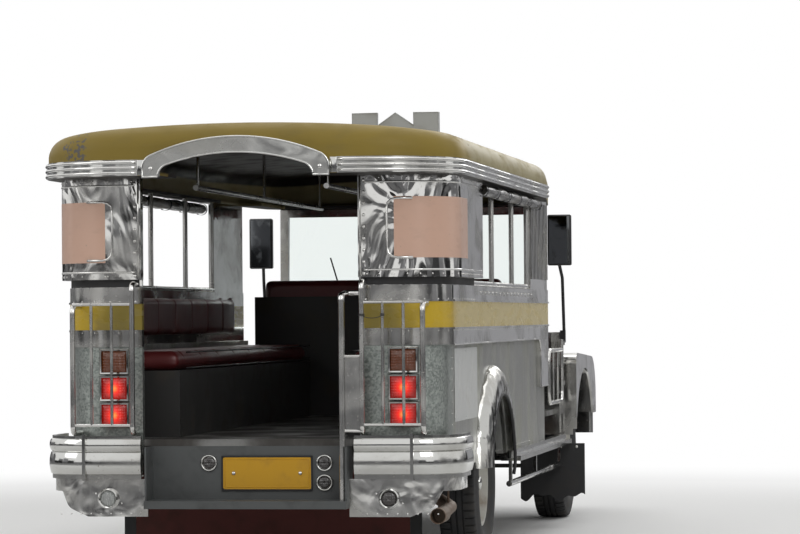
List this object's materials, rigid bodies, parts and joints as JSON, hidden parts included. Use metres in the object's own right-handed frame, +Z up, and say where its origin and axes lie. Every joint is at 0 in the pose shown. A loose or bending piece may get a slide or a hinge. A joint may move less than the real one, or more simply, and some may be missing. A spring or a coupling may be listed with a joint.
{
  "type": "stainless-bodied jeepney, a long-wheelbase public utility vehicle",
  "caption": "Open-sided passenger jeepney with facing benches, a rear step entrance, a crowned roof, steerable front wheels, half doors and a lifting hood.",
  "frame": {"origin": "on the ground at the middle of the vehicle's length and width", "axes": "+Z up, -Y towards the front of the vehicle, +X towards its left side"},
  "size_m": [1.98, 6.04, 2.33],
  "materials": {
    "chassis_black": "satin, dusty",
    "spring_steel": "rusty",
    "forged_steel": "oily",
    "engine_iron": "cast",
    "exhaust_steel": "heat stained",
    "floor_sheet": "worn",
    "galvanised_sheet": "spangled",
    "stainless_sheet": "wavy mirror",
    "stainless_tube": "polished tube",
    "chrome_trim": "polished",
    "yellow_paint": "gloss",
    "roof_paint": "faded",
    "grey_trim": "satin",
    "curtain_vinyl": "cloudy",
    "lamp_red": "lens",
    "lamp_glass": "clear",
    "clear_glass": "clear",
    "black_plastic": "satin",
    "seat_vinyl": "worn",
    "plate_paint": "blank",
    "flap_rubber": "dull",
    "wheel_steel": "silver",
    "tyre_rubber": "worn"
  },
  "bodies": {
    "body": {"chassis_frame": "chassis_black", "leaf_springs": "spring_steel", "front_axle": "chassis_black", "rear_axle": "chassis_black", "engine_block": "engine_iron", "propeller_shaft": "forged_steel", "exhaust": "exhaust_steel", "fuel_tank": "chassis_black", "floor_pan": "floor_sheet", "rear_step": "floor_sheet", "lower_body_panels": "galvanised_sheet", "belt_rails": "stainless_sheet", "belt_band": "yellow_paint", "upper_side_panels": "stainless_sheet", "roof_shell": "roof_paint", "rear_arch_visor": "grey_trim", "eave_mouldings": "stainless_sheet", "window_bars": "stainless_tube", "rolled_curtains": "curtain_vinyl", "rear_bumper": "stainless_sheet", "rear_aprons": "stainless_sheet", "rear_lamps": "lamp_red", "lamp_guards": "stainless_tube", "rear_fenders": "chrome_trim", "running_boards": "stainless_sheet", "cowl": "stainless_sheet", "windshield_frame": "stainless_sheet", "windshield_glass": "clear_glass", "grille": "chrome_trim", "front_fenders": "stainless_sheet", "front_lamps": "lamp_glass", "front_bumper": "chrome_trim", "mirrors": "black_plastic", "signboard": "grey_trim", "seat_frames": "galvanised_sheet", "bench_cushions": "seat_vinyl", "cab_seats": "seat_vinyl", "cab_controls": "black_plastic", "number_plate": "plate_paint", "mudflaps": "flap_rubber"},
    "knuckle_left": {"knuckle_left": "forged_steel"},
    "knuckle_right": {"knuckle_right": "forged_steel"},
    "tie_rod": {"tie_rod": "forged_steel"},
    "hood": {"hood": "stainless_sheet"},
    "half_door_left": {"half_door_left": "stainless_tube"},
    "half_door_right": {"half_door_right": "stainless_tube"},
    "steering_wheel": {"steering_wheel": "black_plastic"},
    "wheel_front_left": {"rim_front_left": "wheel_steel", "tyre_front_left": "tyre_rubber"},
    "wheel_front_right": {"rim_front_right": "wheel_steel", "tyre_front_right": "tyre_rubber"},
    "wheel_rear_left": {"rim_rear_left": "wheel_steel", "tyre_rear_left": "tyre_rubber"},
    "wheel_rear_right": {"rim_rear_right": "wheel_steel", "tyre_rear_right": "tyre_rubber"}
  },
  "joints": [
    {"name": "steer_left", "type": "hinge", "parent": "body", "child": "knuckle_left", "pos_m": [0.618, -2.25, 0.375], "axis": [0, 0, 1], "range_deg": [-30, 30]},
    {"name": "steer_right", "type": "hinge", "parent": "body", "child": "knuckle_right", "pos_m": [-0.618, -2.25, 0.375], "axis": [0, 0, 1], "range_deg": [-30, 30]},
    {"name": "tie_rod_end", "type": "hinge", "parent": "knuckle_left", "child": "tie_rod", "pos_m": [0.618, -2.1, 0.3], "axis": [0, 0, 1], "range_deg": [-30, 30]},
    {"name": "steering_wheel_turn", "type": "hinge", "parent": "body", "child": "steering_wheel", "pos_m": [0.38, -1.35, 1.13], "axis": [0, 0.788, 0.6157], "range_deg": [-481, 481]},
    {"name": "hood_hinge", "type": "hinge", "parent": "body", "child": "hood", "pos_m": [0, -1.798, 1.085], "axis": [-1, 0, 0], "range_deg": [0, 50]},
    {"name": "half_door_left_hinge", "type": "hinge", "parent": "body", "child": "half_door_left", "pos_m": [0.868, -1.625, 0.9], "axis": [0, 0, -1], "range_deg": [0, 80]},
    {"name": "half_door_right_hinge", "type": "hinge", "parent": "body", "child": "half_door_right", "pos_m": [-0.868, -1.625, 0.9], "axis": [0, 0, 1], "range_deg": [0, 80]},
    {"name": "wheel_front_left_spin", "type": "hinge", "parent": "knuckle_left", "child": "wheel_front_left", "pos_m": [0.745, -2.25, 0.375], "axis": [1, 0, 0], "continuous": true},
    {"name": "wheel_front_right_spin", "type": "hinge", "parent": "knuckle_right", "child": "wheel_front_right", "pos_m": [-0.745, -2.25, 0.375], "axis": [1, 0, 0], "continuous": true},
    {"name": "wheel_rear_left_spin", "type": "hinge", "parent": "body", "child": "wheel_rear_left", "pos_m": [0.725, 1.15, 0.375], "axis": [1, 0, 0], "continuous": true},
    {"name": "wheel_rear_right_spin", "type": "hinge", "parent": "body", "child": "wheel_rear_right", "pos_m": [-0.725, 1.15, 0.375], "axis": [1, 0, 0], "continuous": true}
  ],
  "couplings": [
    {"joint": "steer_right", "follows": "steer_left", "ratio": 1},
    {"joint": "tie_rod_end", "follows": "steer_left", "ratio": -1},
    {"joint": "steering_wheel_turn", "follows": "steer_left", "ratio": 16}
  ]
}
